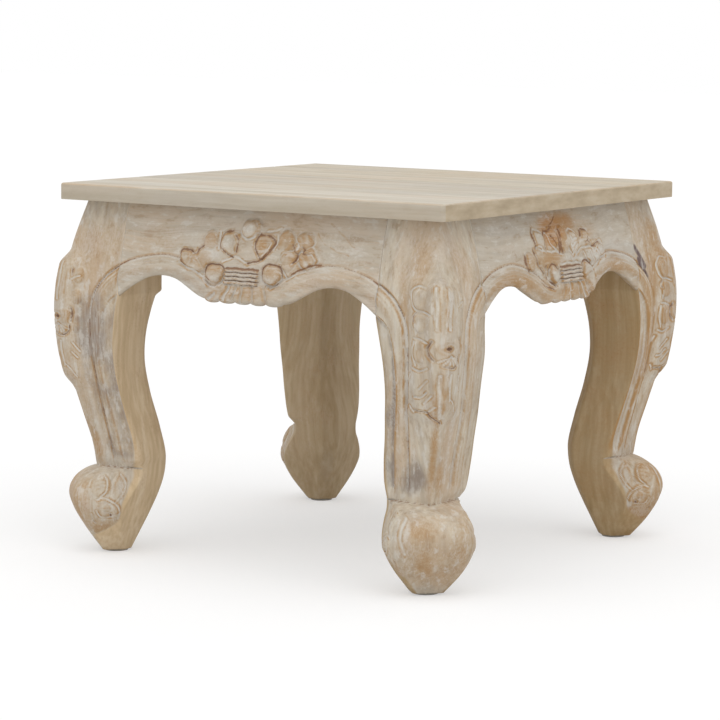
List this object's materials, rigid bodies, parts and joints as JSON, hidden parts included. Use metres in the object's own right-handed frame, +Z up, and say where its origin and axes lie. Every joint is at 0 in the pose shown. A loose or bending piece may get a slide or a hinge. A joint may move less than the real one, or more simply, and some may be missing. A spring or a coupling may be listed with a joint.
{
  "type": "low table",
  "caption": "Low square side table with a boarded top, bombe carved aprons and cabriole legs ending in scroll feet, in lime-washed hardwood.",
  "frame": {"origin": "on the floor under the middle of the square top", "axes": "+Z up; +X along the front edge of the top, to the right as seen from the front; the front apron faces -Y"},
  "size_m": [0.542, 0.542, 0.412],
  "materials": {
    "limed_wood": "lime-washed and rubbed back, matt",
    "bare_wood": "planed, unfinished",
    "screw_steel": "zinc-plated",
    "pad_plastic": "moulded, matt"
  },
  "bodies": {
    "root": {"top_board_1": "limed_wood", "top_board_2": "limed_wood", "top_board_3": "limed_wood", "top_board_4": "limed_wood", "apron_front": "limed_wood", "apron_right": "limed_wood", "apron_back": "limed_wood", "apron_left": "limed_wood", "leg_front_left": "limed_wood", "leg_front_right": "limed_wood", "leg_back_right": "limed_wood", "leg_back_left": "limed_wood", "corner_brace_front_left": "bare_wood", "corner_brace_front_right": "bare_wood", "corner_brace_back_right": "bare_wood", "corner_brace_back_left": "bare_wood", "foot_pad_front_left": "pad_plastic", "foot_pad_front_right": "pad_plastic", "foot_pad_back_right": "pad_plastic", "foot_pad_back_left": "pad_plastic", "apron_screws": "screw_steel", "top_screws": "screw_steel", "pad_nails": "screw_steel"}
  },
  "joints": []
}
